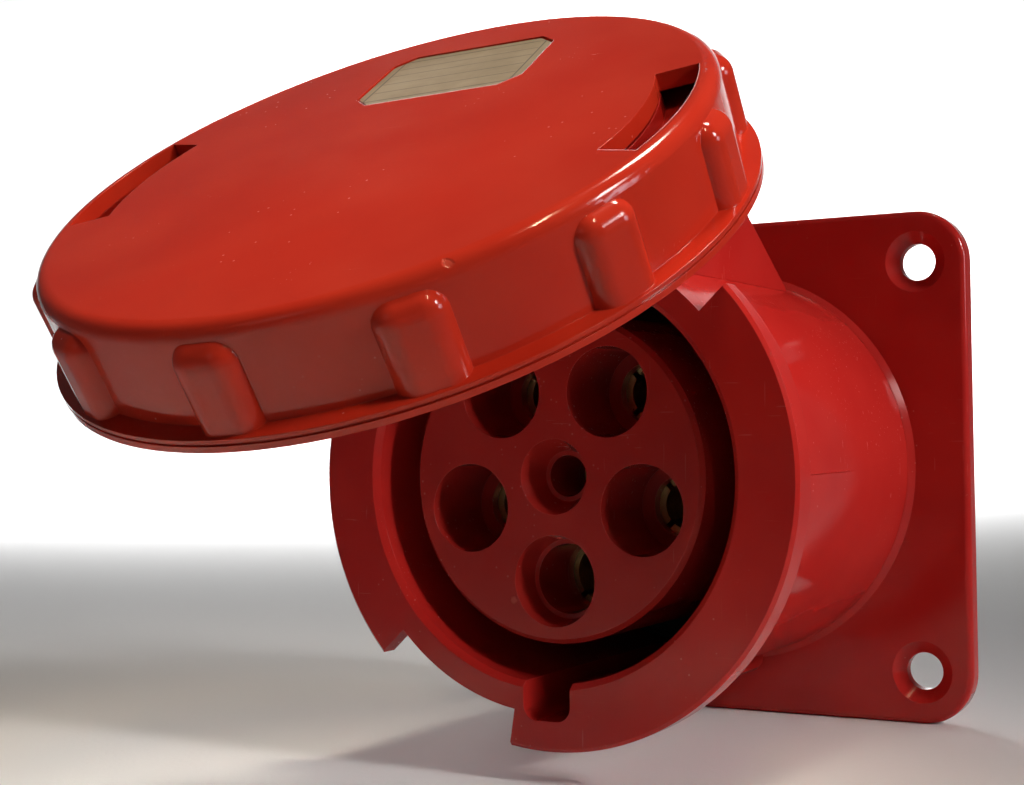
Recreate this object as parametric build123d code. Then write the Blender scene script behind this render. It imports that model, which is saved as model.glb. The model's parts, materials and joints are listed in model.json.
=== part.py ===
from build123d import *
import math
import os

# Industrial panel socket, five poles and a pilot, with a hinged bayonet cap shown open.
#
# Every piece is drawn in the socket's own frame: x to the right, y up and z out of the
# mouth, with z = 0 on the flange's front face. place() then turns it into the row frame:
# X right, Y into the panel, Z up, with Y = 0 on the back of the mounting plate.
# The lid and the cap are drawn closed, and open_lid() swings them to the rest pose.

# Mounting plate
plate_side = 100.0
plate_thick = 4.0
plate_corner = 10.0
plate_edge = 1.2
hole_spacing = 80.0
hole_radius = 3.6
sink_radius = 6.0
sink_depth = 2.0

# Socket body
socket_reach = 75.3          # flange face to the front of the plate
bore_radius = 33.8
bore_mouth = 1.0             # chamfer where the plug enters
barrel_wall = 4.45
foot_cove = 1.2
flange_proud = 6.55          # outside the barrel
flange_thick = 5.0
flange_edge = 0.6
notch_step = 0.4             # notches' floor outside the barrel
notch_width = 38.2           # degrees
notch_angle = 61.8           # centre of the upper notch, from the right-hand side
ramp_rise = 1.4
ramp_length = 12.0
ramp_gap = 0.2               # between the ramps' cuts and the barrel
key_half_width = 4.4
key_reach = 1.55             # key way's floor outside the barrel
key_wall = 2.2
key_corner = 2.5
key_stop = 6.0               # key way ends this far in front of the plug floor
key_root = 12.0              # height of the key way's cut, and of the rib round it
rib_round = 0.8              # that rib's corners over the cut's
floor_depth = 58.0           # flange face to the floor of the plug's space
floor_thick = 5.0
rear_step = 0.7              # rear opening wider than the bore
seal_depth = 1.6
seal_width = 4.0
seal_margin = 6.5            # plate seal's inner edge outside the rear opening
plug_seal_inner = 0.3        # the plug seal's gap to the carrier
plug_seal_outer = 0.2        # and to the bore's wall
plug_seal_thick = 3.0

# Contact carrier
carrier_radius = 27.55
carrier_recess = 2.9
carrier_edge = 0.8
carrier_thick = 15.0
pitch_radius = 17.25
phase_mouth = 7.5
earth_dish = 7.6
earth_hole = 5.9
pilot_dish = 6.3
pilot_hole = 3.5
funnel_depth = 5.0           # of the earth's and the pilot's dish
carrier_gap = 0.45           # in the floor's hole
block_ring_lap = 4.6         # the collar's width on the floor
block_ring_thick = 3.5
block_rear = 6.5             # sleeve block's rear face behind the ring's seat on the housing
carrier_screw_in = 2.4       # screws inside the collar's rim
retainer_thick = 3.0
retainer_screw_ring = 21.0
guide_thick = 2.0
guide_step = 1.1             # hole in the pin guide, wider than the pin's sleeve
funnel_step = 0.8
retainer_inset = 1.5
retainer_edge = 0.8
retainer_screw_bite = 8.0
screw_head = 2.4
screw_head_thick = 1.8
head_round = 0.7
cross_width = 0.7
cross_depth = 1.0
carrier_screw_angles = (60, 180, 300)
retainer_screw_angles = (90, 234, 306)
screw_radius = 1.25
screw_hole = 1.6
screw_bite = 3.5

# Contacts: pin hole radius, sleeve wall, how far the wire clamp stands behind the retainer
phase_pin = 4.05
earth_pin = 5.05
pilot_pin = 2.55
sleeve_wall = 1.55
spring_wall = 0.7
slot_width = 1.0
slot_start = 3.0             # in front of the sleeve's shoulder
sleeve_gap = 0.2             # behind the pin guide
spring_zone = 20.0
spring_inset = 6.0
spring_bite = 0.5
spring_width = 2.0
spring_slack = 0.1           # under the shoulder's radius
spring_open = 24.0           # degrees
pin_stop = 12.0              # bottom of the pin's hole in front of the retainer
stem_step = 1.3
clamp_screw_in = 4.5
small_clamp_screw = 1.25
large_clamp_screw = 2.0
clamp_length = 17.0
wire_wall = 1.5
wire_stop = 4.0              # bottom of the wire's hole behind the retainer
clamp_screw_sink = 0.6       # inside the wire's hole
clamp_screw_length = 4.1
clamp_slot_width = 0.8
clamp_slot_depth = 1.0
cavity_gap = 0.15

# Hinge
hinge_up = 60.2
hinge_back = 18.5
pin_radius = 2.0
pin_gap = 0.06
knuckle_radius = 5.4
arm_half_width = 7.9
arm_thick = 5.5
arm_gap = 0.9                # sideways, to the cheeks
arm_clear = 0.6              # over the notch's floor
arm_reach_thick = 4.0
arm_round = 1.2
arm_slope = 1.5              # the arm's rear face rises this much towards the pin
arm_cheek = 3.5              # half the arm's thickness at the pin
rim_clear = 0.8              # between the cap's rim and the arm under it
neck_half_width = 16.0
neck_web = 3.0
neck_edge = 1.5
cheek_radius = 6.6
neck_root = 4.0              # neck's faces start inside the bore's wall
neck_brow = 3.0              # flat of the cheeks' front above the pin
cheek_room = 1.2             # round the arm's knuckle
neck_foot = -67.5            # where the neck's rear edge leaves the barrel
neck_foot_up = 0.4
neck_knee_up = 47.4
neck_knee_back = -49.3
pin_end = 1.5                # pin outside each cheek
pin_chamfer = 0.4
clip_thick = 0.8
clip_bite = 0.5
clip_reach = 1.7
clip_open = 60.0             # degrees

# Lid disc, the still part of the cap that carries the seal
lid_gap = 0.6                # to the cap's skirt
lid_thick = 3.8
lid_rim_thick = 1.3
face_gap = 0.25              # over the flange when shut
seal_step = 0.8              # lid seal's inner edge outside the bore
lid_seal_width = 5.6
seal_groove = 2.0
seal_proud = 0.05
bead_width = 1.6
bead_proud = 1.0
bead_gap = 0.6               # inside the bore's wall when shut
lid_web = 2.2
seal_end_gap = 12.0          # seal's cut ends, sideways from the arm

# Bayonet cap
skirt_clear = 2.5            # skirt's inner wall outside the flange
skirt_wall = 2.2
rim_proud = 2.7              # outside the skirt
rim_thick = 1.8
rim_slope = 0.4
rim_back = 9.0               # rim's open edge behind the flange face when shut
rim_groove = 0.35            # line round the rim
rim_groove_up = 0.9
cap_height = 15.9
cap_roof = 2.5
cap_fillet = 2.2
rib_count = 12
rib_width = 9.6
rib_proud = 2.1              # outside the skirt
rib_corner = 3.2
rib_nose = 2.9
rib_drop = 2.2               # rib tops below the roof
rib_sink = 1.7               # rib's root inside the skirt's outer face
lug_half_angle = 15.0
lug_clear = 2.75             # outside the barrel
lug_thick = 2.9
lug_inset = 0.7
lug_corner = 1.5
window_edge = 0.4            # inside the skirt's inner wall
window_width = 6.2
window_half_angle = 17.5
label_width = 28.4
label_height = 19.0
label_in = 19.0              # label's middle inside the skirt
label_corner = 3.0
label_depth = 0.5
label_thick = 0.35
label_gap = 0.25             # round the label in its recess
ring_bite = 1.0              # of the retaining ring in the skirt
ring_width = 2.3
ring_thick = 0.9
ring_open = 28.0             # degrees
ring_turn = 130.0
washer_inner = 20.0
washer_outer = 25.0
washer_thick = 0.25
cap_gap = 0.3

# Pose in which the part is shown
open_angle = 56.15           # lid swung up from shut
cap_turn = 4.5               # the cap's label stands this much off upright

plate_front = -socket_reach
plate_back = plate_front - plate_thick
barrel_radius = bore_radius + barrel_wall
rear_radius = bore_radius + rear_step
floor_hole = carrier_radius + carrier_gap
block_ring_radius = floor_hole + block_ring_lap
carrier_screw_ring = block_ring_radius - carrier_screw_in
flange_radius = barrel_radius + flange_proud
notch_floor = barrel_radius + notch_step
key_floor = barrel_radius + key_reach
seal_inner = bore_radius + seal_step
seal_outer = seal_inner + lid_seal_width
skirt_inner = flange_radius + skirt_clear
skirt_radius = skirt_inner + skirt_wall
rim_radius = skirt_radius + rim_proud
rib_reach = skirt_radius + rib_proud
lid_radius = skirt_inner - lid_gap
ring_outer = skirt_inner + ring_bite
lug_inner = barrel_radius + lug_clear
window_outer = skirt_inner - window_edge
window_inner = window_outer - window_width
label_up = skirt_inner - label_in
seat = -floor_depth - floor_thick
base = (Align.CENTER, Align.CENTER, Align.MIN)


def rod(radius, back, front, x=0.0, y=0.0):
    return Pos(x, y, back) * Cylinder(radius, front - back, align=base)


def ring(inner, outer, back, front):
    return rod(outer, back, front) - rod(inner, back - 1, front + 1)


def sector(inner, outer, start, end, back, front):
    """A block bounded by two radii, two angles in degrees and two depths."""
    middle = Pos((inner + outer) / 2, (back + front) / 2)
    section = Plane.XZ * middle * Rectangle(outer - inner, front - back)
    return Rot(0, 0, start) * revolve(section, Axis.Z, revolution_arc=end - start)


def turned(points):
    """A solid of revolution about the socket's axis, from (radius, depth) corners."""
    return revolve(Plane.XZ * make_face(Polyline(*points, close=True)), Axis.Z)


def side_block(points, half_width):
    """A block from (up, out) corners, as wide as given on both sides of the middle."""
    face = make_face(Polyline(*[(0, up, out) for up, out in points], close=True))
    return extrude(face, half_width, dir=(1, 0, 0)) + extrude(face, half_width, dir=(-1, 0, 0))


def polar(radius, angle):
    return radius * math.cos(math.radians(angle)), radius * math.sin(math.radians(angle))


def place(shape):
    """From the socket's frame into the row frame."""
    return Pos(0, plate_back, 0) * Rot(90, 0, 0) * shape


def open_lid(shape):
    """Swing a piece of the shut lid to the pose in which the part is shown."""
    axis = Pos(0, hinge_up, -hinge_back)
    return axis * Rot(-open_angle, 0, 0) * axis.inverse() * shape


# Housing: one moulding, in four solids that meet face to face

def mounting_plate():
    """The square plate round the barrel's foot, with a small cove on its front."""
    plate = Pos(0, 0, plate_back) * Box(plate_side, plate_side, plate_thick, align=base)
    plate = fillet(plate.edges().filter_by(Axis.Z), plate_corner)
    plate = fillet(plate.faces().sort_by(Axis.Z)[-1].edges(), plate_edge)
    cove = barrel_radius + foot_cove
    plate += turned([
        (rear_radius, plate_back), (cove, plate_back), (cove, plate_front),
        (barrel_radius, plate_front + foot_cove), (rear_radius, plate_front + foot_cove)])
    plate -= rod(barrel_radius, plate_back - 1, plate_front + 2 * foot_cove) + key_channel()
    return plate - ring(*seal_track(), plate_back - 1, plate_back + seal_depth) - plate_holes()


def plate_holes():
    cuts = Part()
    for place_at in GridLocations(hole_spacing, hole_spacing, 2, 2):
        x, y, _ = place_at.position
        cuts += rod(hole_radius, plate_back - 1, plate_front + 1, x, y)
        sink = Cone(hole_radius, sink_radius, sink_depth, align=base)
        cuts += Pos(x, y, plate_front - sink_depth) * sink
    return cuts


def flange_notches():
    """Two gaps for the cap's lugs. The upper one runs on to let the lid's arm through."""
    half = notch_width / 2
    arm_end = 90 + math.degrees(math.asin((arm_half_width + arm_gap) / notch_floor))
    back, front = -flange_thick - 1, 1
    start = notch_angle - half
    inner, outer = bore_radius, flange_radius + 2
    upper = sector(inner, outer, start, arm_end, back, front)
    lower = sector(inner, outer, start + 180, start + 180 + notch_width, back, front)
    return upper + lower


def flange_ramps():
    """Cuts that thin the flange's back towards the notches, where the lugs come in."""
    cuts = Part()
    tilt = math.degrees(math.atan2(ramp_rise, ramp_length))
    for turn in (0, 180):
        edge = notch_angle - notch_width / 2 + turn
        wedge = Box(2 * flange_edge + flange_radius - barrel_radius, ramp_length * 2, flange_thick,
                    align=(Align.MIN, Align.MIN, Align.MAX))
        wedge = Pos(0, -ramp_length, -flange_thick) * Rot(tilt, 0, 0) * wedge
        x, y = polar(barrel_radius + ramp_gap, edge)
        cuts += Pos(x, y, 0) * Rot(0, 0, edge) * wedge
    return cuts


def bayonet_flange():
    """The two arcs that the cap's lugs pass behind, outside the barrel's lip."""
    arcs = turned([
        (notch_floor, -flange_thick), (flange_radius, -flange_thick),
        (flange_radius, -flange_edge), (flange_radius - flange_edge, 0), (notch_floor, 0)])
    return arcs - flange_notches() - flange_ramps() - key_way()


def body_profile():
    """Half the barrel's section: its lip, the plug's space, the floor and the rear opening."""
    return [
        (barrel_radius, plate_back), (barrel_radius, -flange_thick), (notch_floor, -flange_thick),
        (notch_floor, 0), (bore_radius + bore_mouth, 0), (bore_radius, -bore_mouth),
        (bore_radius, -floor_depth), (floor_hole, -floor_depth), (floor_hole, seat),
        (rear_radius, seat), (rear_radius, plate_back)]


def neck_outline(inset):
    """The neck from the side. The inset moves its sloping rear edge inwards."""
    foot = math.sqrt(barrel_radius ** 2 - neck_half_width ** 2)
    front = -hinge_back + cheek_radius
    root = bore_radius - neck_root
    return [
        (root, neck_foot + inset), (foot + neck_foot_up - inset, neck_foot + inset / 2),
        (neck_knee_up - inset, neck_knee_back + inset / 2),
        (hinge_up + cheek_radius * 0.8 - inset, -hinge_back - cheek_radius * 1.8 + inset / 2),
        (hinge_up + cheek_radius - inset, -hinge_back), (hinge_up + neck_brow - inset / 2, front),
        (root, front)]


def hinge_neck():
    """Two cheeks on the barrel that carry the hinge pin, joined by a sloping rear web."""
    block = fillet(side_block(neck_outline(0), neck_half_width).edges().filter_by(Axis.X), neck_edge)
    half = arm_half_width + arm_gap
    room = side_block(neck_outline(neck_web), half)
    reach = knuckle_radius + cheek_room
    low, high, back = hinge_up - 2 * reach, hinge_up + 2 * cheek_radius, -hinge_back - reach
    over_pin = side_block([(low, back), (high, back), (high, 0), (low, 0)], half)
    low = bore_radius - neck_root
    front = side_block([(low, -hinge_back), (hinge_up, -hinge_back), (hinge_up, 0), (low, 0)], half)
    neck = block - room - over_pin - front - rod(barrel_radius, plate_front, 0)
    return neck - on_hinge(Cylinder(pin_radius, 2 * neck_half_width + 2))


def key_channel():
    """The rib under the barrel that gives the key way its wall."""
    rib = Pos(0, -key_floor - key_wall, plate_front) * Box(
        2 * (key_half_width + key_wall), key_root, socket_reach - flange_thick,
        align=(Align.CENTER, Align.MIN, Align.MIN))
    return fillet(rib.edges().filter_by(Axis.Z).group_by(Axis.Y)[0], key_corner + rib_round)


def key_way():
    slot = Pos(0, -key_floor, -floor_depth + key_stop) * Box(
        2 * key_half_width, key_root, floor_depth, align=(Align.CENTER, Align.MIN, Align.MIN))
    return fillet(slot.edges().filter_by(Axis.Z).group_by(Axis.Y)[0], key_corner)


def on_hinge(shape):
    """Lay a piece drawn along z on the hinge's axis."""
    return Pos(0, hinge_up, -hinge_back) * Rot(0, 90, 0) * shape


def socket_housing():
    """The barrel, with its lip, its floor and the key way's rib."""
    body = turned(body_profile()) + key_channel()
    body -= rod(bore_radius, -floor_depth, -bore_mouth) + rod(rear_radius, plate_back - 1, seat)
    body -= key_way()
    for x, y in screw_places(carrier_screw_ring, carrier_screw_angles):
        body -= rod(screw_radius, seat - 1, seat + screw_bite, x, y)
    return body


def seal_track():
    return rear_radius + seal_margin, rear_radius + seal_margin + seal_width


def panel_seal():
    inner, outer = seal_track()
    return ring(inner, outer, plate_back, plate_back + seal_depth)


def plug_seal():
    """Rubber ring at the bottom of the space that the plug's collar enters."""
    inner = carrier_radius + plug_seal_inner
    return ring(inner, bore_radius - plug_seal_outer, -floor_depth, -floor_depth + plug_seal_thick)


def screw_places(radius, angles):
    return [polar(radius, angle) for angle in angles]


# Carrier and what it holds

guide_front = -carrier_recess - carrier_thick
guide_back = guide_front - guide_thick
sleeve_front = guide_back - sleeve_gap
block_back = seat - block_rear
retainer_back = block_back - retainer_thick
clamp_back = retainer_back - clamp_length
clamp_middle = clamp_back + clamp_screw_in


class PinHole:
    """One pin's place, with the radii of its mouth, its hole in the guide and its sleeve."""

    def __init__(self, angle, radius, pin, mouth, hole, funnel):
        self.x, self.y = polar(radius, angle)
        self.pin = pin
        self.mouth = mouth
        self.hole = hole
        self.funnel = funnel
        self.sleeve = pin + sleeve_wall
        self.shoulder = self.sleeve + spring_wall
        self.stem = pin + stem_step
        self.clamp_out = angle

    def at(self, shape):
        return Pos(self.x, self.y, 0) * shape

    def rod(self, radius, back, front):
        return rod(radius, back, front, self.x, self.y)


def phase_hole_at(angle):
    return PinHole(angle, pitch_radius, phase_pin, phase_mouth, phase_pin + guide_step, False)


pin_holes = {
    "phase_contact_l1": phase_hole_at(126.0),
    "phase_contact_l2": phase_hole_at(54.0),
    "phase_contact_l3": phase_hole_at(-18.0),
    "neutral_contact": phase_hole_at(198.0),
    "earth_contact": PinHole(-90.0, pitch_radius, earth_pin, earth_dish, earth_hole, True),
    "pilot_contact": PinHole(90.0, 0.0, pilot_pin, pilot_dish, pilot_hole, True)}


def contact_carrier():
    """The front block, with a wide straight mouth or a funnel for each pin."""
    body = turned([
        (0, guide_front), (carrier_radius, guide_front),
        (carrier_radius, -carrier_recess - carrier_edge),
        (carrier_radius - carrier_edge, -carrier_recess), (0, -carrier_recess)])
    for hole in pin_holes.values():
        body -= pin_mouth(hole)
    return body


def pin_mouth(hole):
    if not hole.funnel:
        return hole.rod(hole.mouth, guide_front - 1, 1)
    cone = Cone(hole.hole + funnel_step, hole.mouth, funnel_depth, align=base)
    cone = hole.at(Pos(0, 0, -carrier_recess - funnel_depth) * cone)
    return cone + hole.rod(hole.hole, guide_front - 1, -carrier_recess - funnel_depth + 0.1)


def pin_guide():
    """The disc that shields the sleeves' front ends and centres the pins."""
    disc = rod(carrier_radius, guide_back, guide_front)
    for hole in pin_holes.values():
        disc -= hole.rod(hole.hole, guide_back - 1, guide_front + 1)
    return disc


def sleeve_block():
    """The long block behind the guide, with a round room for each contact."""
    body = rod(carrier_radius, block_back, guide_back)
    for hole in pin_holes.values():
        body -= hole.rod(hole.shoulder + cavity_gap, block_back - 1, guide_back + 1)
    for x, y in screw_places(retainer_screw_ring, retainer_screw_angles):
        body -= rod(screw_radius, block_back - 1, block_back + retainer_screw_bite, x, y)
    return body


def block_ring():
    """The collar on the sleeve block that is screwed to the housing's floor from behind."""
    collar = ring(carrier_radius, block_ring_radius, seat - block_ring_thick, seat)
    for x, y in screw_places(carrier_screw_ring, carrier_screw_angles):
        collar -= rod(screw_hole, seat - block_ring_thick - 1, seat + 1, x, y)
    return collar


def rear_retainer():
    plate = rod(carrier_radius - retainer_inset, retainer_back, block_back)
    plate = chamfer(plate.edges().group_by(Axis.Z)[0], retainer_edge)
    for hole in pin_holes.values():
        plate -= hole.rod(hole.stem + cavity_gap, retainer_back - 1, block_back + 1)
    for x, y in screw_places(retainer_screw_ring, retainer_screw_angles):
        plate -= rod(screw_hole, retainer_back - 1, block_back + 1, x, y)
    return plate


def spring_track(hole, wall):
    """The band round a sleeve in which its spring ring sits."""
    middle = sleeve_front - spring_inset
    half = spring_width / 2
    return hole.sleeve - spring_bite, hole.sleeve + wall, middle - half, middle + half


def contact(hole):
    """A slotted brass sleeve with a shoulder and a wire clamp behind."""
    shoulder = sleeve_front - spring_zone
    body = rod(hole.sleeve, shoulder - 1, sleeve_front)
    body += rod(hole.shoulder, block_back, shoulder)
    body += rod(hole.stem, clamp_back, block_back + 1)
    body -= rod(hole.pin, block_back + pin_stop, sleeve_front + 1)
    body -= ring(*spring_track(hole, 1))
    slot = Pos(0, 0, shoulder + slot_start) * Box(3 * hole.sleeve, slot_width, spring_zone, align=base)
    body -= Rot(0, 0, 45) * slot + Rot(0, 0, 135) * slot
    body -= rod(hole.stem - wire_wall, clamp_back - 1, retainer_back - wire_stop)
    screw = Pos(0, 0, clamp_middle) * Rot(0, 90, 0) * Cylinder(
        clamp_screw_radius(hole), hole.stem + 1, align=base)
    return hole.at(body - Rot(0, 0, hole.clamp_out) * screw)


def clamp_screw_radius(hole):
    return small_clamp_screw if hole.pin < phase_pin else large_clamp_screw


def contact_springs():
    """Open steel rings in the sleeves' grooves, which close the sleeves on the pins."""
    springs = []
    for hole in pin_holes.values():
        inner, outer, back, front = spring_track(hole, spring_wall - spring_slack)
        half = spring_open / 2
        springs.append(hole.at(sector(inner, outer, half, 360 - half, back, front)))
    return Compound(springs)


def clamp_screws():
    screws = []
    for hole in pin_holes.values():
        radius = clamp_screw_radius(hole)
        body = Cylinder(radius, clamp_screw_length, align=base)
        slot = Box(3 * radius, clamp_slot_width, 2 * clamp_slot_depth, align=base)
        body -= Pos(0, 0, clamp_screw_length - clamp_slot_depth) * slot
        body = Pos(hole.stem - wire_wall - clamp_screw_sink, 0, clamp_middle) * Rot(0, 90, 0) * body
        screws.append(hole.at(Rot(0, 0, hole.clamp_out) * body))
    return Compound(screws)


def pan_screw(x, y, under_head, length):
    """A pan-head screw that points forwards, with a cross in its head."""
    head = Pos(0, 0, under_head - screw_head_thick) * Cylinder(screw_head, screw_head_thick, align=base)
    head = fillet(head.faces().sort_by(Axis.Z)[0].edges(), head_round)
    arm = Box(screw_head * 1.2, cross_width, 2 * cross_depth, align=base)
    cross = Pos(0, 0, under_head - screw_head_thick - cross_depth) * (arm + Rot(0, 0, 90) * arm)
    shank = rod(screw_radius, under_head - screw_head_thick / 4, under_head + length)
    return Pos(x, y, 0) * (head - cross + shank)


def carrier_screws():
    under = seat - block_ring_thick
    return Compound([pan_screw(x, y, under, block_ring_thick + screw_bite)
                     for x, y in screw_places(carrier_screw_ring, carrier_screw_angles)])


def retainer_screws():
    return Compound([pan_screw(x, y, retainer_back, retainer_thick + retainer_screw_bite)
                     for x, y in screw_places(retainer_screw_ring, retainer_screw_angles)])


def hinge_pin():
    body = Cylinder(pin_radius, 2 * (neck_half_width + pin_end))
    body = chamfer(body.edges(), pin_chamfer)
    groove = ring(pin_radius - clip_bite, pin_radius + 1, neck_half_width, neck_half_width + clip_thick)
    return on_hinge(body - groove - Rot(180, 0, 0) * groove)


def pin_clips():
    half = clip_open / 2
    clip = sector(pin_radius - clip_bite, pin_radius + clip_reach, half, 360 - half,
                  neck_half_width, neck_half_width + clip_thick)
    return Compound([on_hinge(clip), on_hinge(Rot(180, 0, 0) * clip)])


# Lid

def hinge_arm():
    """The arm that leads from the disc back through the notch and out to the pin."""
    inner = notch_floor + arm_clear
    outer = inner + arm_thick
    under_rim = -rim_back - rim_clear
    knee = under_rim - arm_reach_thick
    profile = [
        (inner, face_gap + lid_rim_thick), (inner, knee), (hinge_up - arm_cheek, knee - arm_slope),
        (hinge_up, -hinge_back), (hinge_up + arm_cheek, -hinge_back + arm_cheek),
        (hinge_up - arm_cheek, under_rim), (outer, under_rim), (outer, face_gap + lid_rim_thick)]
    arm = side_block(profile, arm_half_width)
    arm = fillet(arm.edges().filter_by(Axis.X).group_by(Axis.Y)[0][:1], arm_round)
    arm += on_hinge(Cylinder(knuckle_radius, 2 * arm_half_width))
    return arm - on_hinge(Cylinder(pin_radius + pin_gap, 3 * arm_half_width))


def lid_plate():
    disc = rod(lid_radius, face_gap, face_gap + lid_rim_thick)
    disc += rod(window_inner, face_gap, face_gap + lid_thick)
    bead = bore_radius - bead_gap
    disc += ring(bead - bead_width, bead, face_gap - bead_proud, face_gap + lid_rim_thick)
    disc -= rod(bead - bead_width, face_gap - bead_proud, face_gap + lid_thick - lid_web)
    disc -= ring(seal_inner, seal_outer, face_gap - 1, face_gap + seal_groove)
    return disc + hinge_arm() - ring(seal_inner, notch_floor, face_gap - 1, face_gap + seal_groove)


def lid_seal():
    """The rubber ring that closes on the flange, cut short under the arm."""
    seal = ring(seal_inner, seal_outer, face_gap - seal_proud, face_gap + seal_groove)
    out = seal_groove + lid_thick
    under_arm = [(notch_floor, -out), (notch_floor, out), (lid_radius, out), (lid_radius, -out)]
    return seal - side_block(under_arm, arm_half_width + seal_end_gap)


# Bayonet cap

roof_top = cap_height - rim_back
roof_under = roof_top - cap_roof


def cap_shell():
    shell = turned([
        (0, roof_under), (skirt_inner, roof_under), (skirt_inner, -rim_back),
        (rim_radius, -rim_back), (rim_radius, -rim_back + rim_thick),
        (skirt_radius, -rim_back + rim_thick + rim_slope), (skirt_radius, roof_top), (0, roof_top)])
    return fillet(shell.faces().sort_by(Axis.Z)[-1].edges(), cap_fillet)


def grip_ribs():
    """Round fingers down the side of the cap, with domed ends under the roof."""
    top = roof_top - rib_drop
    foot = -rim_back + rim_thick / 2
    root = skirt_radius - rib_sink
    rib = Pos(root, 0, foot) * Box(
        rib_reach - root, rib_width, top - foot, align=(Align.MIN, Align.CENTER, Align.MIN))
    corner = min(rib_corner, 0.9 * (rib_reach - root), 0.45 * rib_width)
    rib = fillet(rib.edges().filter_by(Axis.Z).group_by(Axis.X)[-1], corner)
    nose = rib.faces().sort_by(Axis.Z)[-1].edges().sort_by(Axis.X)[1:]
    rib = fillet(nose, min(rib_nose, 0.9 * corner))
    return [Rot(0, 0, step * 360 / rib_count) * rib for step in range(rib_count)]


def bayonet_lugs():
    lugs = Part()
    centre = notch_angle - cap_turn
    for turn in (0, 180):
        lug = sector(lug_inner, skirt_inner + 1, centre - lug_half_angle + turn,
                     centre + lug_half_angle + turn,
                     -rim_back + lug_inset, -rim_back + lug_inset + lug_thick)
        inner_edges = lug.edges().filter_by(Axis.Z).sort_by_distance((0, 0, -rim_back))[:2]
        lugs += fillet(inner_edges, lug_corner)
    return lugs


def label_outline(grow):
    width = label_width + 2 * grow
    height = label_height + 2 * grow
    return Pos(0, label_up) * chamfer(Rectangle(width, height).vertices(), label_corner)


def bayonet_cap():
    cap = cap_shell()
    for rib in grip_ribs():
        cap += rib
    cap -= rod(skirt_inner, -rim_back - 1, roof_under)
    cap += bayonet_lugs()
    for turn in (0, 180):
        cap -= sector(window_inner, window_outer, turn - window_half_angle,
                      turn + window_half_angle, roof_under - 1, roof_top + 1)
    cap -= Pos(0, 0, roof_top - label_depth) * extrude(label_outline(label_gap), cap_roof)
    cap -= ring(skirt_inner - ring_bite, ring_outer, *ring_seat())
    line = -rim_back + rim_groove_up
    cap -= ring(rim_radius - rim_groove, rim_radius + 1, line, line + rim_groove)
    return Rot(0, 0, cap_turn) * cap


def ring_seat():
    """Depths of the retaining ring and its groove, just under the disc."""
    front = face_gap - cap_gap
    return front - ring_thick, front


def cap_retaining_ring():
    """An open spring ring in the skirt's groove, which keeps the disc in the cap."""
    half = ring_open / 2
    band = sector(ring_outer - ring_width, ring_outer, half, 360 - half, *ring_seat())
    return Rot(0, 0, ring_turn) * band


def wave_washer():
    return ring(washer_inner, washer_outer, roof_under - washer_thick, roof_under)


def rating_label():
    label = Pos(0, 0, roof_top - label_depth) * extrude(label_outline(0), label_thick)
    return Rot(0, 0, cap_turn) * label


def build():
    parts = {
        "socket_housing": socket_housing(), "mounting_plate": mounting_plate(),
        "bayonet_flange": bayonet_flange(), "hinge_neck": hinge_neck(), "panel_seal": panel_seal(),
        "plug_seal": plug_seal(), "contact_carrier": contact_carrier(),
        "pin_guide": pin_guide(), "sleeve_block": sleeve_block(), "block_ring": block_ring(),
        "rear_retainer": rear_retainer(), "contact_springs": contact_springs(),
        "clamp_screws": clamp_screws(), "carrier_screws": carrier_screws(),
        "retainer_screws": retainer_screws(), "hinge_pin": hinge_pin(),
        "pin_clips": pin_clips()}
    for name, hole in pin_holes.items():
        parts[name] = contact(hole)
    for name, shape in {
            "lid_plate": lid_plate(), "lid_seal": lid_seal(), "bayonet_cap": bayonet_cap(),
            "cap_retaining_ring": cap_retaining_ring(), "wave_washer": wave_washer(),
            "rating_label": rating_label()}.items():
        parts[name] = open_lid(shape)
    return {name: place(shape) for name, shape in parts.items()}


os.makedirs("parts", exist_ok=True)
for node, solid in build().items():
    export_step(solid, f"parts/{node}.step")
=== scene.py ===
"""Dress the industrial panel socket: red mouldings, rubber rings, brass, steel, foil and a pale studio."""

import json
import math

import bmesh
import bpy
from mathutils import Matrix, Vector


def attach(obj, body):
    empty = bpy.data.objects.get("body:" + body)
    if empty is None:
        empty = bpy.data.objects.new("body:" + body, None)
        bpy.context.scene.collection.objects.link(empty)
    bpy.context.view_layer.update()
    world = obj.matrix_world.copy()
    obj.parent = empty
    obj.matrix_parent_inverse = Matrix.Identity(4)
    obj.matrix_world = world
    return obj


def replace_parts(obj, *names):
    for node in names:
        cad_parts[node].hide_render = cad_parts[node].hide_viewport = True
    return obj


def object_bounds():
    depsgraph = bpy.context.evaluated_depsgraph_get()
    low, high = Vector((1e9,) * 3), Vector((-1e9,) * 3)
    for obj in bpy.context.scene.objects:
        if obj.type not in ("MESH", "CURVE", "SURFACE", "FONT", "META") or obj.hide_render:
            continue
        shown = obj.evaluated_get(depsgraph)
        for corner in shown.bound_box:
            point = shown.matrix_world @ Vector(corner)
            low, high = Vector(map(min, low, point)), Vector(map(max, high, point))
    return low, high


bl_info = {
    "name": "Panel Socket Dresser",
    "version": (1, 0, 0),
    "blender": (4, 5, 0),
    "location": "View3D > Sidebar > Socket",
    "description": "Adds the seals, label foil, screws and finishes of a round panel socket",
    "category": "Add Mesh",
}

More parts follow.
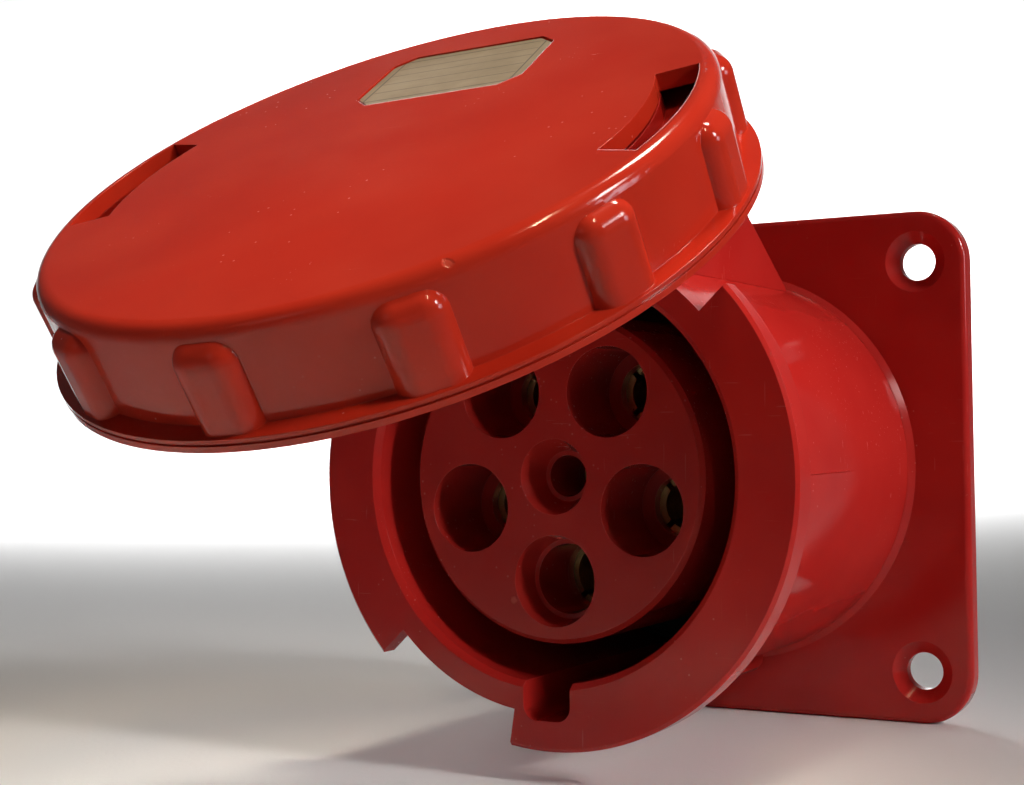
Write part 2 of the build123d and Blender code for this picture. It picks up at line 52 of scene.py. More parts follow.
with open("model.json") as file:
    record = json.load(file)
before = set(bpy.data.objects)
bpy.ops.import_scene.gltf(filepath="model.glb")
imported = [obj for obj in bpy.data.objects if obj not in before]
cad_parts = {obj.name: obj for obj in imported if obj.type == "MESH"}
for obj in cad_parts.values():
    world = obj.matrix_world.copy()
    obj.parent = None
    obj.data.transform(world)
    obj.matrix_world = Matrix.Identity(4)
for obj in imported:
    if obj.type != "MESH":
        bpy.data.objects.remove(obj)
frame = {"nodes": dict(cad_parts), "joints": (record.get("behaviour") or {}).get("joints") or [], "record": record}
start_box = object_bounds()
MM = 0.001
HINGE = next(joint for joint in frame["joints"] if joint["name"] == "lid_hinge")
SWING = math.radians(-HINGE["range_deg"][0])
MOUTH_FRONT = -79.3 * MM          # the flange's front face in the row frame
CAP_SET = -4.5                    # degrees that the cap's label stands off upright

# Marks, painted highlights and joints on the mouldings, in metres in the row frame
BARREL_SIDE = 0.03825
HOUSING_SEAMS = ((0.03865, MOUTH_FRONT), (BARREL_SIDE, 0.0))
# The first is a real mark; the other two are painted highlights: lighter spots with a small dent where glints of
# the flange's notch edges fall on the barrel
HOUSING_KNOCKS_AND_GLINTS = (
    ((0.03825, -0.0722, 0.0006), 0.0007),
    ((0.0345, -0.0700, 0.0165), 0.0008),
    ((0.0330, -0.0715, -0.0193), 0.0009),
)
CARRIER_KNOCKS = (((-0.0078, -0.0764, -0.0207), 0.0011),)
CAP_KNOCKS = (((0.03233, -0.15493, 0.0270), 0.0011),)

# Rubber rings, in millimetres from the socket's axis and out of its mouth
LID_RING = (34.6, 40.2, 0.2, 2.25)          # inner, outer, front, back
LID_RING_CUT = 38.65                        # flat under the lid's arm
PANEL_RING = (41.0, 45.0, -79.3, -77.7)     # inner, outer, face, floor
PLUG_RING = (27.85, 33.6, -58.0, -55.0)     # inner, outer, floor, face

# Label, in millimetres
LABEL_SIZE = (28.3, 18.9)
LABEL_SOFTEN = 0.5                # the cut corners' own corners
LABEL_RIM = 0.25
LABEL_THICK = 0.33
LABEL_UP = 28.3                   # middle, above the socket's axis on the shut cap
LABEL_FLOOR = 6.4                 # recess floor, out of the mouth on the shut cap

# Lamps: name, place, target, sides, watts, colour, spread in degrees
MIDDLE = (0.0, -0.06, 0.0)
CROWN = (0.0, -0.14, 0.06)
WHITE = (1.0, 1.0, 1.0)
LAMPS = (
    ("key_softbox", (0.62, -0.12, 0.34), MIDDLE, (0.16, 0.16), 0.092, (1.0, 0.96, 0.92), 24.0),
    ("top_softbox", (0.08, -0.04, 0.64), CROWN, (0.18, 0.18), 0.088, (1.0, 0.90, 0.74), 18.0),
    ("strip_lamp", (0.24, -0.33, 0.50), CROWN, (0.012, 0.20), 0.03, (1.0, 0.76, 0.48), 26.0),
    ("window_light", (0.95, 0.12, 0.22), MIDDLE, (0.30, 0.26), 0.11, (0.88, 0.90, 1.0), 40.0),
    ("front_fill", (-0.20, -0.95, 0.16), MIDDLE, (0.5, 0.4), 0.006, (1.0, 0.95, 0.90), 30.0),
    ("back_fill", (-0.55, 0.70, 0.45), MIDDLE, (0.5, 0.4), 0.35, (1.0, 0.98, 0.95), 50.0),
    ("floor_wash", (-1.0, 1.9, 1.5), (-1.0, 2.0, 0.0), (1.6, 2.2), 40.0, WHITE, 66.0),
    ("near_wash", (-0.75, 0.85, 0.95), (-0.75, 0.86, 0.0), (0.9, 0.9), 9.5, WHITE, 62.0),
    ("paper_wash", (-1.2, 1.6, 1.6), (-2.0, 3.4, 0.7), (2.4, 1.0), 62.0, WHITE, 120.0),
)
WORLD_TINT = (1.0, 0.97, 0.94, 1.0)
WORLD_STRENGTH = 0.05
PAPER_TONE = (0.72, 0.72, 0.72)
BACKDROP_TURN = 27.0              # degrees, square to the photograph's camera

# The photograph's camera
CAMERA_PLACE = (0.1343075, -0.3056270, 0.0079142)
CAMERA_TURN = (92.47729, 0.64285, 27.18443)
CAMERA_SENSOR = 36.0
CAMERA_LENS = 56.0189
CAMERA_SHIFT = (-0.126516, -0.032445)
CAMERA_NEAR = 0.01


# Places

def from_mouth(x, up, out):
    """A point in the row frame from millimetres right, up and out of the socket's mouth."""
    return Vector((x * MM, MOUTH_FRONT - out * MM, up * MM))


def swung():
    """The turn about the hinge pin that opens a piece modelled on the shut lid."""
    pivot = Matrix.Translation(HINGE["pos_m"])
    return pivot @ Matrix.Rotation(SWING, 4, Vector(HINGE["axis"])) @ pivot.inverted()


def capped(angle):
    """The cap's own turn on the shut lid, then the lid's swing."""
    return swung() @ Matrix.Rotation(math.radians(angle), 4, "Y")


# Shader maths

class Wire:
    """One socket of a material's node tree, on which arithmetic adds Math nodes."""

    def __init__(self, tree, socket):
        self.tree = tree
        self.socket = socket

    def join(self, operation, *values, clamp=False):
        node = self.tree.nodes.new("ShaderNodeMath")
        node.operation = operation
        node.use_clamp = clamp
        for slot, value in zip(node.inputs, (self,) + values):
            plug(self.tree, slot, value)
        return Wire(self.tree, node.outputs[0])

    def flipped(self, operation, value):
        node = self.tree.nodes.new("ShaderNodeMath")
        node.operation = operation
        plug(self.tree, node.inputs[0], value)
        plug(self.tree, node.inputs[1], self)
        return Wire(self.tree, node.outputs[0])

    def __add__(self, other):
        return self.join("ADD", other)

    def __radd__(self, other):
        return self.join("ADD", other)

    def __sub__(self, other):
        return self.join("SUBTRACT", other)

    def __rsub__(self, other):
        return self.flipped("SUBTRACT", other)

    def __mul__(self, other):
        return self.join("MULTIPLY", other)

    def __rmul__(self, other):
        return self.join("MULTIPLY", other)

    def __pow__(self, other):
        return self.join("POWER", other)

    def __abs__(self):
        return self.join("ABSOLUTE")

    def clamped(self):
        return self.join("ADD", 0.0, clamp=True)

    def between(self, low, high):
        """0 below low, 1 above high, straight between."""
        return ((self - low) * (1.0 / (high - low))).clamped()


def plug(tree, slot, value):
    if isinstance(value, Wire):
        tree.links.new(value.socket, slot)
    elif hasattr(slot.default_value, "__len__") and len(slot.default_value) == 4 and len(value) == 3:
        slot.default_value = (*value, 1.0)
    else:
        slot.default_value = value


class Finish:
    """A material under construction: its tree, its shader and short ways to add nodes."""

    def __init__(self, name):
        self.material = bpy.data.materials.new(name)
        self.material.use_nodes = True
        self.tree = self.material.node_tree
        self.shader = next(n for n in self.tree.nodes if n.type == "BSDF_PRINCIPLED")
        self.point = self.node("ShaderNodeTexCoord", output="Object")

    def node(self, kind, settings=(), output=0, stops=(), **inputs):
        """Add a node. Settings and ramp stops come first, then the values or wires of its inputs."""
        node = self.tree.nodes.new(kind)
        for key, value in dict(settings).items():
            setattr(node, key, value)
        if stops:
            ramp = node.color_ramp
            while len(ramp.elements) < len(stops):
                ramp.elements.new(0.5)
            for element, (place, colour) in zip(ramp.elements, stops):
                element.position = place
                element.color = (*colour, 1.0)
        for key, value in inputs.items():
            plug(self.tree, node.inputs[key.replace("_", " ")], value)
        return Wire(self.tree, node.outputs[output])

    def parts(self, vector=None):
        """The x, y and z of a place, in metres, as three wires."""
        node = self.tree.nodes.new("ShaderNodeSeparateXYZ")
        plug(self.tree, node.inputs[0], vector or self.point)
        return [Wire(self.tree, node.outputs[axis]) for axis in range(3)]

    def noise(self, scale, detail=3.0, roughness=0.5, stretch=None, turn=(0.0, 0.0, 0.0)):
        """Soft noise from 0 to 1, turned and then stretched if asked."""
        place = self.point
        if stretch:
            place = self.node("ShaderNodeMapping", Vector=place, Rotation=turn, Scale=stretch)
        return self.node("ShaderNodeTexNoise", output="Fac", Vector=place, Scale=scale,
                         Detail=detail, Roughness=roughness)

    def specks(self, scale, size):
        """1 in small scattered dots, 0 elsewhere."""
        distance = self.node("ShaderNodeTexVoronoi", output="Distance", Vector=self.point, Scale=scale)
        return 1.0 - distance.between(size * 0.5, size)

    def scratches(self, scale, stretch, turn):
        """1 in short, fine, straight streaks along the turned axis that is stretched least."""
        return self.noise(scale, 1.0, 0.4, stretch, turn=turn).between(0.73, 0.77)

    def spot(self, place, radius):
        """1 in a ragged patch round a place in metres, 0 elsewhere."""
        node = self.tree.nodes.new("ShaderNodeVectorMath")
        node.operation = "DISTANCE"
        plug(self.tree, node.inputs[0], self.point)
        plug(self.tree, node.inputs[1], place)
        ragged = self.noise(1400.0, 2.0) * (radius * 0.9)
        return 1.0 - (Wire(self.tree, node.outputs["Value"]) + ragged).between(radius * 0.8, radius * 1.15)

    def mix(self, amount, first, second):
        """From the first colour to the second."""
        node = self.tree.nodes.new("ShaderNodeMix")
        node.data_type = "RGBA"
        plug(self.tree, node.inputs[0], amount)
        plug(self.tree, node.inputs[6], first)
        plug(self.tree, node.inputs[7], second)
        return Wire(self.tree, node.outputs[2])

    def rounded(self, radius):
        """A normal that rounds the edges by a radius in metres."""
        return self.node("ShaderNodeBevel", {"samples": 4}, Radius=radius)

    def edge(self, rounded):
        """1 where an edge is, from how far the rounded normal leaves the plain one."""
        normal = self.node("ShaderNodeNewGeometry", output="Normal")
        node = self.tree.nodes.new("ShaderNodeVectorMath")
        node.operation = "DOT_PRODUCT"
        plug(self.tree, node.inputs[0], normal)
        plug(self.tree, node.inputs[1], rounded)
        return 1.0 - Wire(self.tree, node.outputs["Value"])

    def blend_normals(self, amount, first, second):
        """From the first normal to the second."""
        node = self.tree.nodes.new("ShaderNodeMix")
        node.data_type = "VECTOR"
        plug(self.tree, node.inputs[0], amount)
        plug(self.tree, node.inputs[4], first)
        plug(self.tree, node.inputs[5], second)
        return Wire(self.tree, node.outputs[1])

    def bump(self, height, distance, normal=None):
        """A normal bent by a height, over a normal that is bent already if one is given."""
        inputs = {"Height": height, "Distance": distance}
        if normal:
            inputs["Normal"] = normal
        return self.node("ShaderNodeBump", **inputs)

    def set(self, **inputs):
        """Plug values and wires into the shader and hand the material over."""
        for key, value in inputs.items():
            plug(self.tree, self.shader.inputs[key.replace("_", " ")], value)
        return self.material


def red_moulding(name, red, roughness, parting=None, seams=(), knocks_and_glints=()):
    """Injection-moulded red plastic: flow variation, fine skin texture, rubbed edges and dust.
    A parting is how far out the mould's parting line runs, along both sides behind the flange.
    A seam is the (radius, y) of a flat joint between two solids of one moulding, kept unrounded.
    A knock is the (place, radius) of a small dent with a lighter floor; where it stands for a glint, the lighter
    floor is a painted highlight."""
    f = Finish(name)
    flow = f.noise(22.0, 3.0, 0.6)
    cloud = f.noise(70.0, 2.0)
    skin = f.noise(2600.0, 2.0)
    waves = f.noise(160.0, 1.0)
    hairlines = (f.scratches(150.0, (1.0, 22.0, 18.0), (0.5, 0.7, 0.3)) +
                 f.scratches(140.0, (20.0, 18.0, 1.0), (0.4, -0.5, 0.9)))
    patchy = f.noise(30.0, 2.0).between(0.45, 0.65)
    marks = (hairlines * patchy).clamped()
    dust = f.specks(520.0, 0.11) * f.noise(45.0, 1.0).between(0.52, 0.66)
    smooth = f.rounded(0.00016)
    x, y, z = f.parts()
    if seams:
        radius = (x * x + z * z) ** 0.5
        joint = 0.0
        for seam_radius, seam_y in seams:
            joint = joint + (1.0 - abs(radius - seam_radius).between(0.0006, 0.0009)) * (
                1.0 - abs(y - seam_y).between(0.0002, 0.0004))
        plain = f.node("ShaderNodeNewGeometry", output="Normal")
        smooth = f.blend_normals(joint.clamped(), smooth, plain)
    worn = f.edge(smooth).between(0.02, 0.25)
    dark = tuple(c * 0.86 for c in red)
    light = (min(1.0, red[0] * 1.12), red[1] * 1.5 + 0.004, red[2] * 1.4 + 0.003)
    colour = f.mix(flow.between(0.3, 0.7), dark, red)
    colour = f.mix(cloud.between(0.35, 0.8) * 0.5, colour, light)
    colour = f.mix(worn * 0.2, colour, (red[0] * 1.15, red[1] + 0.05, red[2] + 0.03))
    colour = f.mix(marks * 0.1, colour, (0.66, 0.14, 0.08))
    colour = f.mix(dust * 0.14, colour, (0.75, 0.38, 0.28))
    height = skin * 0.25 + waves * 0.7 - marks * 0.25
    deep = 9.0                    # against the skin's own relief
    # Lighter dent floors; at the housing's glint places this lighter colour is a painted highlight
    for place, size in knocks_and_glints:
        dent_and_glint = f.spot(place, size)
        colour = f.mix(dent_and_glint * 0.3, colour, (0.70, 0.14, 0.09))
        height = height - dent_and_glint * deep
    if parting:
        line = 1.0 - abs(z).between(0.00008, 0.00022)
        side = abs(x).between(parting - 0.002, parting - 0.001)
        behind = y.between(MOUTH_FRONT + 0.0052, MOUTH_FRONT + 0.0054)
        fading = 1.0 - y.between(-0.042, -0.034)
        height = height + line * side * behind * fading * deep
    rough = (cloud - 0.5) * 0.10 + marks * 0.18 + dust * 0.3 + worn * 0.08 + roughness
    normal = f.bump(height, 0.000012, smooth)
    return f.set(Base_Color=colour, Roughness=rough, Normal=normal, IOR=1.48, Specular_IOR_Level=0.36)


def rubber(name, grey):
    """Matt black seal rubber with a faint bloom and moulded grain."""
    f = Finish(name)
    bloom = f.noise(60.0, 3.0).between(0.45, 0.75)
    grain = f.noise(3200.0, 2.0)
    lint = f.specks(800.0, 0.10)
    colour = f.mix(bloom * 0.5, grey, tuple(c * 2.0 + 0.004 for c in grey))
    colour = f.mix(lint * 0.4, colour, (0.16, 0.15, 0.14))
    return f.set(Base_Color=colour, Roughness=0.68 + bloom * 0.14,
                 Normal=f.bump(grain, 0.00003), IOR=1.5)


def dark_moulding(name, grey):
    """Dark glass-filled plastic of the rear retainer."""
    f = Finish(name)
    fibre = f.noise(900.0, 3.0, 0.6, (1.0, 0.25, 1.6))
    tone = f.noise(50.0, 2.0)
    colour = f.mix(fibre.between(0.45, 0.7) * 0.6, grey, tuple(c * 1.6 + 0.01 for c in grey))
    return f.set(Base_Color=colour, Roughness=0.46 + tone * 0.16,
                 Normal=f.bump(fibre + f.noise(3000.0, 1.0) * 0.5, 0.00003, f.rounded(0.0002)))


def turned_metal(name, tone, roughness, tarnish):
    """Metal with fine tool rings, a little tarnish and brighter edges."""
    f = Finish(name)
    rings = f.noise(1500.0, 2.0, 0.5, (0.15, 1.6, 0.15))
    stain = f.noise(140.0, 4.0, 0.65).between(0.42, 0.72)
    pits = f.specks(1400.0, 0.12)
    smooth = f.rounded(0.00015)
    worn = f.edge(smooth).between(0.02, 0.3)
    colour = f.mix(stain * 0.55, tone, tarnish)
    colour = f.mix(worn * 0.5, colour, tuple(min(1.0, c * 1.2) for c in tone))
    return f.set(Base_Color=colour, Metallic=1.0, Roughness=roughness + stain * 0.16 + rings * 0.08,
                 Normal=f.bump(rings - pits * 0.8, 0.000012, smooth))


def label_foil(name, base, ink):
    """Aged metallised label: warm foil, a thin printed frame with bare fields, and fine rubbing."""
    f = Finish(name)
    x, y = f.parts(f.node("ShaderNodeUVMap", {"uv_map": "sheet"}))[:2]
    across = abs(x)
    along = abs(y)
    inside = 1.0 - across.between(12.85, 12.95)
    border = across.between(12.55, 12.65) * inside * (1.0 - along.between(8.2, 8.3))
    border = border + along.between(7.85, 7.95) * (1.0 - along.between(8.15, 8.25)) * inside
    rows = 0.0
    for height in (-4.6, -1.2, 2.2, 5.0):
        rows = rows + (1.0 - abs(y - height).between(0.06, 0.13))
    print_mask = (border + rows * (1.0 - across.between(12.4, 12.5))).clamped()
    rub = f.noise(240.0, 3.0, 0.6)
    print_mask = print_mask * (rub.between(0.28, 0.42) * 0.5 + 0.35)
    brushed = f.noise(900.0, 3.0, 0.55, (0.12, 1.0, 1.0))
    mottling = f.noise(90.0, 4.0, 0.6)
    colour = f.mix(mottling.between(0.35, 0.7), base, tuple(c * 0.72 for c in base))
    colour = f.mix(brushed.between(0.4, 0.75) * 0.14, colour, tuple(min(1.0, c * 1.35) for c in base))
    colour = f.mix(print_mask, colour, ink)
    return f.set(Base_Color=colour, Metallic=0.35 - print_mask * 0.3, Roughness=0.36 + mottling * 0.2,
                 Normal=f.bump(brushed * 0.4 + mottling, 0.00004))


def studio_paper(name, tone):
    """Matt background paper with a faint fibre."""
    f = Finish(name)
    fibre = f.noise(900.0, 3.0)
    colour = f.mix(fibre.between(0.3, 0.8) * 0.25, tone, tuple(c * 0.97 for c in tone))
    return f.set(Base_Color=colour, Roughness=0.9, Normal=f.bump(fibre, 0.00005))


# Mesh helpers

def clear_selection():
    """Leave edit mode and select nothing."""
    if bpy.context.object and bpy.context.object.mode != "OBJECT":
        bpy.ops.object.mode_set(mode="OBJECT")
    bpy.ops.object.select_all(action="DESELECT")


def fresh(name):
    """Name the primitive that was just added and give it to edit mode."""
    piece = bpy.context.object
    piece.name = name
    piece.data.name = name
    bpy.ops.object.mode_set(mode="EDIT")
    return piece


def pick(piece, kind, test):
    """Select only the vertices or edges whose ends pass the test."""
    work = bmesh.from_edit_mesh(piece.data)
    for every in (work.verts, work.edges, work.faces):
        for item in every:
            item.select = False
    if kind == "EDGE":
        chosen = [edge for edge in work.edges if test(*[vert.co for vert in edge.verts])]
    else:
        chosen = [vert for vert in work.verts if test(vert.co)]
    bpy.context.tool_settings.mesh_select_mode = (kind == "VERT", kind == "EDGE", False)
    for item in chosen:
        item.select_set(True)
    work.select_flush_mode()
    bmesh.update_edit_mesh(piece.data)


def settle(piece, matrix):
    """Leave edit mode and bake a place into the mesh, so the object sits at the origin."""
    if piece.mode == "EDIT":
        bpy.ops.object.mode_set(mode="OBJECT")
    piece.data.transform(matrix @ piece.matrix_world)
    piece.matrix_world = Matrix.Identity(4)
    piece.data.update()


def spun_ring(name, section, steps):
    """A ring spun about the socket's axis from (radius, out) corners in millimetres."""
    clear_selection()
    bpy.ops.mesh.primitive_circle_add(vertices=len(section), radius=1.0, location=(0, 0, 0))
    piece = fresh(name)
    work = bmesh.from_edit_mesh(piece.data)
    work.verts.ensure_lookup_table()
    for vert, (radius, out) in zip(work.verts, section):
        vert.co = (radius * MM, -out * MM, 0)
    bmesh.update_edit_mesh(piece.data)
    bpy.ops.mesh.select_all(action="SELECT")
    bpy.ops.mesh.spin(steps=steps, angle=math.tau, center=(0, 0, 0), axis=(0, 1, 0))
    bpy.ops.mesh.select_all(action="SELECT")
    bpy.ops.mesh.remove_doubles(threshold=1e-6)
    bpy.ops.mesh.normals_make_consistent(inside=False)
    return piece


def finished(piece, body, finish, angle=35.0):
    """Smooth-shade a piece, give it its finish and let it ride on a body."""
    clear_selection()
    piece.select_set(True)
    bpy.context.view_layer.objects.active = piece
    bpy.ops.object.shade_smooth_by_angle(angle=math.radians(angle))
    piece.data.materials.clear()
    piece.data.materials.append(finish)
    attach(piece, body)
    return piece


def dress(slot, finish):
    """Give every CAD node of a material slot its finish."""
    for part in frame["record"]["subparts"]:
        if part["material_slot"] == slot:
            node = frame["nodes"][part["node"]]
            node.data.materials.clear()
            node.data.materials.append(finish)


# Settings

class MouldingLook(bpy.types.PropertyGroup):
    housing_red: bpy.props.FloatVectorProperty(
        name="Housing red", description="Colour of the plate, barrel and flange",
        subtype="COLOR", size=3, min=0.0, max=1.0, default=(0.48, 0.017, 0.014))
    carrier_red: bpy.props.FloatVectorProperty(
        name="Carrier red", description="Colour of the contact carrier",
        subtype="COLOR", size=3, min=0.0, max=1.0, default=(0.40, 0.018, 0.014))
    # The part of the cap red's orange beyond the housing's red is a painted warm sheen
    cap_red_with_sheen: bpy.props.FloatVectorProperty(
        name="Cap red", description="Colour of the bayonet cap",
        subtype="COLOR", size=3, min=0.0, max=1.0, default=(0.52, 0.026, 0.011))
    housing_roughness: bpy.props.FloatProperty(
        name="Housing roughness", description="How satin the housing is", min=0.0, max=1.0, default=0.14)
    cap_roughness: bpy.props.FloatProperty(
        name="Cap roughness", description="How satin the cap is", min=0.0, max=1.0, default=0.11)


class MetalLook(bpy.types.PropertyGroup):
    brass: bpy.props.FloatVectorProperty(
        name="Brass", description="Colour of the contacts", subtype="COLOR", size=3,
        min=0.0, max=1.0, default=(0.80, 0.58, 0.27))
    steel: bpy.props.FloatVectorProperty(
        name="Steel", description="Colour of screws, clips and pin", subtype="COLOR", size=3,
        min=0.0, max=1.0, default=(0.66, 0.66, 0.65))


class SealSizes(bpy.types.PropertyGroup):
    lip: bpy.props.FloatProperty(
        name="Lip radius", description="Roundness of the seals' lips", unit="LENGTH",
        min=0.0001, max=0.003, default=0.0008)
    around: bpy.props.IntProperty(
        name="Steps around", description="Faces around each rubber ring", min=24, max=256, default=128)
    black: bpy.props.FloatVectorProperty(
        name="Rubber", description="Colour of the rubber", subtype="COLOR", size=3,
        min=0.0, max=1.0, default=(0.012, 0.012, 0.013))


class FoilSizes(bpy.types.PropertyGroup):
    corner: bpy.props.FloatProperty(
        name="Corner", description="Cut across the label's corners", unit="LENGTH",
        min=0.0001, max=0.005, default=0.003)
    tone: bpy.props.FloatVectorProperty(
        name="Foil", description="Colour of the aged foil", subtype="COLOR", size=3,
        min=0.0, max=1.0, default=(0.40, 0.31, 0.20))
    ink: bpy.props.FloatVectorProperty(
        name="Ink", description="Colour of the printed frame", subtype="COLOR", size=3,
        min=0.0, max=1.0, default=(0.06, 0.05, 0.04))


class StageSizes(bpy.types.PropertyGroup):
    floor_drop: bpy.props.FloatProperty(
        name="Floor drop", description="Floor under the part's lowest point", unit="LENGTH",
        min=0.0, max=1.0, default=0.0)
    reach: bpy.props.FloatProperty(
        name="Floor reach", description="Half the floor's side", unit="LENGTH",
        min=0.5, max=20.0, default=4.0)


# Operators

class SOCKET_OT_mouldings(bpy.types.Operator):
    """Give the plastic mouldings their red finishes"""
    bl_idname = "socket.mouldings"
    bl_label = "Finish Mouldings"

    def execute(self, context):
        look = context.scene.socket_mouldings
        dress("red_housing", red_moulding(
            "housing_red", tuple(look.housing_red), look.housing_roughness,
            parting=BARREL_SIDE, seams=HOUSING_SEAMS, knocks_and_glints=HOUSING_KNOCKS_AND_GLINTS))
        dress("red_carrier", red_moulding(
            "carrier_red", tuple(look.carrier_red), 0.24, knocks_and_glints=CARRIER_KNOCKS))
        dress("red_lid", red_moulding("lid_red", tuple(look.housing_red), 0.20))
        # The cap's colour carries a painted warm sheen on top of its red
        dress("red_cap", red_moulding(
            "cap_red_with_sheen", tuple(look.cap_red_with_sheen), look.cap_roughness, knocks_and_glints=CAP_KNOCKS))
        dress("dark_plastic", dark_moulding("retainer_dark", (0.03, 0.03, 0.033)))
        return {"FINISHED"}


class SOCKET_OT_metals(bpy.types.Operator):
    """Give the contacts, screws, pin and springs their metals"""
    bl_idname = "socket.metals"
    bl_label = "Finish Metals"

    def execute(self, context):
        look = context.scene.socket_metals
        dress("brass", turned_metal("contact_brass", tuple(look.brass), 0.24, (0.36, 0.20, 0.09)))
        dress("spring_steel", turned_metal("spring_steel", (0.48, 0.48, 0.49), 0.28, (0.22, 0.20, 0.19)))
        dress("zinc_steel", turned_metal("zinc_plate", tuple(look.steel), 0.30, (0.42, 0.40, 0.34)))
        dress("stainless", turned_metal("pin_steel", (0.62, 0.61, 0.60), 0.18, (0.34, 0.33, 0.31)))
        return {"FINISHED"}


class SOCKET_OT_seals(bpy.types.Operator):
    """Model the lid's, the panel's and the plug's rubber rings"""
    bl_idname = "socket.seals"
    bl_label = "Add Rubber Rings"

    def execute(self, context):
        sizes = context.scene.socket_seals
        black = rubber("seal_rubber", tuple(sizes.black))
        self.lid_ring(sizes, black)
        self.panel_ring(sizes, black)
        self.plug_ring(sizes, black)
        return {"FINISHED"}

    def lid_ring(self, sizes, black):
        """Two rounded lips and a valley between, cut straight under the arm."""
        inner, outer, front, back = LID_RING
        section = [(inner, back), (outer, back), (outer, front + 0.9), (outer - 0.35, front + 0.2)]
        section += self.lip(outer - 1.25, front, sizes.lip / MM)
        section += [((inner + outer) / 2 + 0.5, front + 0.75), ((inner + outer) / 2 - 0.5, front + 0.75)]
        section += self.lip(inner + 1.25, front, sizes.lip / MM)
        section += [(inner + 0.35, front + 0.2), (inner, front + 0.9)]
        ring = spun_ring("lid_ring", section, sizes.around)
        bpy.ops.mesh.select_all(action="SELECT")
        bpy.ops.mesh.bisect(
            plane_co=(0, 0, LID_RING_CUT * MM), plane_no=(0, 0, 1), use_fill=True, clear_outer=True)
        settle(ring, swung() @ Matrix.Translation((0, MOUTH_FRONT, 0)))
        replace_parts(finished(ring, "lid", black), "lid_seal")

    def lip(self, middle, front, radius):
        """Corners of a half-round lip, from its outer foot to its inner one."""
        turns = [math.radians(angle) for angle in range(15, 180, 25)]
        return [(middle + radius * math.cos(turn), front + radius - radius * math.sin(turn))
                for turn in turns]

    def panel_ring(self, sizes, black):
        """A square cord with rounded back and two pressing ribs, flush with the plate."""
        inner, outer, face, floor = PANEL_RING
        section = [(inner, floor), (outer, floor), (outer, face + 0.45), (outer - 0.3, face + 0.12)]
        section += [(outer - 0.9, face), (outer - 1.4, face + 0.18), ((inner + outer) / 2, face + 0.3)]
        section += [(inner + 1.4, face + 0.18), (inner + 0.9, face)]
        section += [(inner + 0.3, face + 0.12), (inner, face + 0.45)]
        ring = spun_ring("panel_ring", section, sizes.around)
        settle(ring, Matrix.Translation((0, MOUTH_FRONT, 0)))
        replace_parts(finished(ring, "socket", black), "panel_seal")

    def plug_ring(self, sizes, black):
        """The ring at the bottom of the plug's space, with two rounded ridges on its face."""
        inner, outer, floor, face = PLUG_RING
        section = [(outer, floor), (inner, floor), (inner, face - 0.6), (inner + 0.3, face - 0.2)]
        for ridge in (inner + 1.5, outer - 1.5):
            section += [(ridge - 0.9, face - 0.3), (ridge - 0.4, face - 0.05), (ridge, face),
                        (ridge + 0.4, face - 0.05), (ridge + 0.9, face - 0.3)]
        section += [(outer - 0.3, face - 0.2), (outer, face - 0.6)]
        ring = spun_ring("plug_ring", section, sizes.around)
        settle(ring, Matrix.Translation((0, MOUTH_FRONT, 0)))
        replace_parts(finished(ring, "socket", black), "plug_seal")


class SOCKET_OT_foil(bpy.types.Operator):
    """Lay the bare label foil in the cap's recess"""
    bl_idname = "socket.foil"
    bl_label = "Add Label Foil"

    def execute(self, context):
        sizes = context.scene.socket_foil
        clear_selection()
        bpy.ops.mesh.primitive_plane_add(size=1.0, location=(0, 0, 0))
        sheet = fresh("label_sheet")
        bpy.ops.mesh.select_all(action="SELECT")
        bpy.ops.transform.resize(value=(LABEL_SIZE[0] * MM, LABEL_SIZE[1] * MM, 1))
        pick(sheet, "VERT", lambda co: True)
        bpy.ops.mesh.bevel(offset=sizes.corner, segments=1, affect="VERTICES")
        bpy.ops.mesh.select_all(action="SELECT")
        bpy.ops.mesh.bevel(offset=LABEL_SOFTEN * MM, segments=4, affect="VERTICES")
        bpy.ops.mesh.select_all(action="SELECT")
        bpy.ops.mesh.inset(thickness=LABEL_RIM * MM)
        bpy.ops.mesh.select_all(action="SELECT")
        bpy.ops.mesh.extrude_region_move(TRANSFORM_OT_translate={"value": (0, 0, LABEL_THICK * MM)})
        bpy.ops.object.mode_set(mode="OBJECT")
        foil_map = sheet.data.uv_layers.new(name="sheet")
        for loop in sheet.data.loops:
            point = sheet.data.vertices[loop.vertex_index].co
            foil_map.data[loop.index].uv = (point.x / MM, point.y / MM)
        upright = Matrix.Rotation(math.radians(90), 4, "X")
        settle(sheet, capped(CAP_SET) @ Matrix.Translation(from_mouth(0, LABEL_UP, LABEL_FLOOR)) @ upright)
        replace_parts(finished(sheet, "cap", label_foil(
            "aged_foil", tuple(sizes.tone), tuple(sizes.ink))), "rating_label")
        return {"FINISHED"}


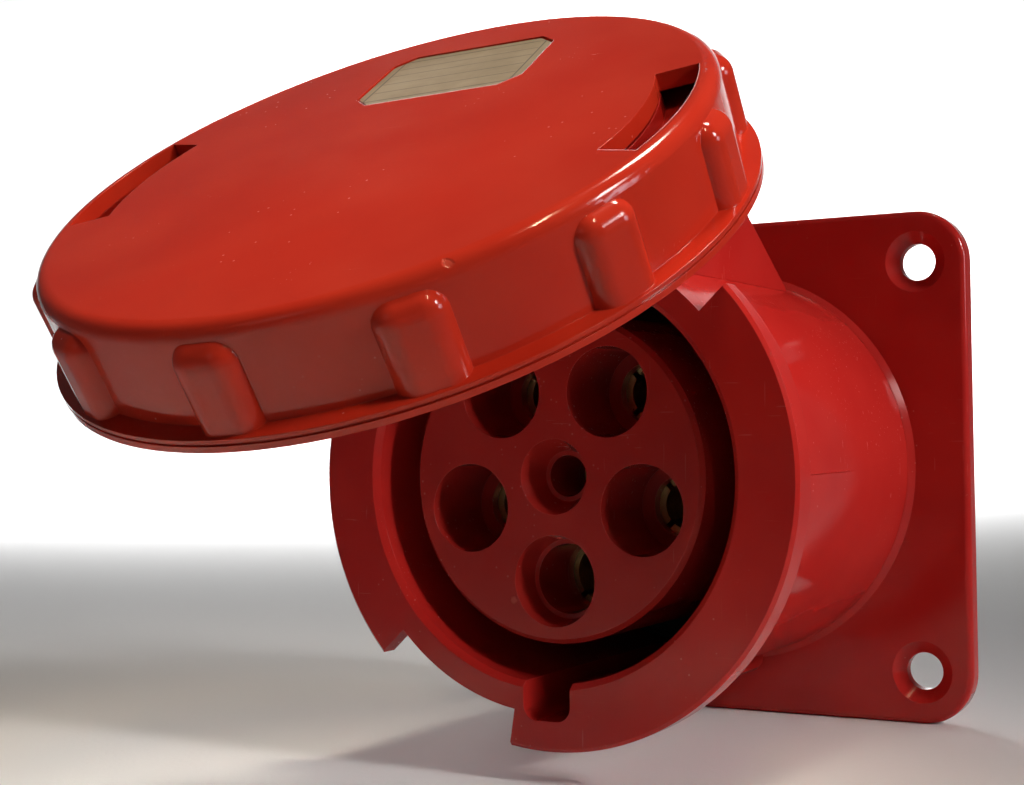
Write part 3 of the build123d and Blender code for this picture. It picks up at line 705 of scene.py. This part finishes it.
class SOCKET_OT_stage(bpy.types.Operator):
    """Add the pale floor, the soft lights and the camera"""
    bl_idname = "socket.stage"
    bl_label = "Set Stage"

    def execute(self, context):
        self.floor(context.scene.socket_stage)
        for row in LAMPS:
            self.lamp(*row)
        self.world(context.scene)
        self.camera(context.scene)
        return {"FINISHED"}

    def floor(self, sizes):
        clear_selection()
        low = start_box[0].z - sizes.floor_drop
        bpy.ops.mesh.primitive_plane_add(size=2 * sizes.reach, location=(0, 0, low))
        floor = fresh("floor")
        pick(floor, "EDGE", lambda a, b: a.y > 0 and b.y > 0)
        bpy.ops.mesh.extrude_region_move(TRANSFORM_OT_translate={"value": (0, 0, sizes.reach)})
        pick(floor, "EDGE", lambda a, b: a.y > 0 and b.y > 0 and abs(a.z) < 1e-6 and abs(b.z) < 1e-6)
        bpy.ops.mesh.bevel(offset=sizes.reach * 0.5, segments=16, affect="EDGES")
        settle(floor, Matrix.Rotation(math.radians(BACKDROP_TURN), 4, "Z"))
        clear_selection()
        floor.select_set(True)
        bpy.context.view_layer.objects.active = floor
        bpy.ops.object.shade_smooth()
        floor.data.materials.append(studio_paper("pale_paper", PAPER_TONE))

    def lamp(self, name, place, target, side, power, colour, spread):
        light = bpy.data.lights.new(name, "AREA")
        light.shape = "RECTANGLE"
        light.size, light.size_y = side
        light.energy = power
        light.color = colour
        light.spread = math.radians(spread)
        item = bpy.data.objects.new(name, light)
        bpy.context.scene.collection.objects.link(item)
        item.location = place
        aim = Vector(target) - Vector(place)
        item.rotation_euler = aim.to_track_quat("-Z", "Y").to_euler()

    def world(self, scene):
        world = bpy.data.worlds.new("pale_studio")
        world.use_nodes = True
        background = world.node_tree.nodes["Background"]
        background.inputs["Color"].default_value = WORLD_TINT
        background.inputs["Strength"].default_value = WORLD_STRENGTH
        scene.world = world
        scene.view_settings.view_transform = "Standard"

    def camera(self, scene):
        data = bpy.data.cameras.new("photo_camera")
        data.sensor_width = CAMERA_SENSOR
        data.lens = CAMERA_LENS
        data.shift_x, data.shift_y = CAMERA_SHIFT
        data.clip_start = CAMERA_NEAR
        item = bpy.data.objects.new("photo_camera", data)
        scene.collection.objects.link(item)
        item.location = CAMERA_PLACE
        item.rotation_euler = [math.radians(angle) for angle in CAMERA_TURN]
        scene.camera = item


class SOCKET_PT_panel(bpy.types.Panel):
    """Buttons that build each group of pieces"""
    bl_label = "Panel Socket"
    bl_idname = "SOCKET_PT_panel"
    bl_space_type = "VIEW_3D"
    bl_region_type = "UI"
    bl_category = "Socket"

    def draw(self, context):
        for operator in OPERATORS:
            self.layout.operator(operator.bl_idname)
        for group in SETTINGS:
            box = self.layout.box()
            settings = getattr(context.scene, group)
            for name in settings.bl_rna.properties.keys():
                if name not in ("rna_type", "name"):
                    box.prop(settings, name)


OPERATORS = (SOCKET_OT_mouldings, SOCKET_OT_metals, SOCKET_OT_seals, SOCKET_OT_foil, SOCKET_OT_stage)
SETTINGS = {
    "socket_mouldings": MouldingLook,
    "socket_metals": MetalLook,
    "socket_seals": SealSizes,
    "socket_foil": FoilSizes,
    "socket_stage": StageSizes,
}


def register():
    for name, group in SETTINGS.items():
        bpy.utils.register_class(group)
        setattr(bpy.types.Scene, name, bpy.props.PointerProperty(type=group))
    for item in OPERATORS + (SOCKET_PT_panel,):
        bpy.utils.register_class(item)


def unregister():
    for item in reversed(OPERATORS + (SOCKET_PT_panel,)):
        bpy.utils.unregister_class(item)
    for name, group in SETTINGS.items():
        delattr(bpy.types.Scene, name)
        bpy.utils.unregister_class(group)


def main():
    register()
    bpy.ops.socket.mouldings()
    bpy.ops.socket.metals()
    bpy.ops.socket.seals()
    bpy.ops.socket.foil()
    bpy.ops.socket.stage()


if __name__ == "__main__":
    main()
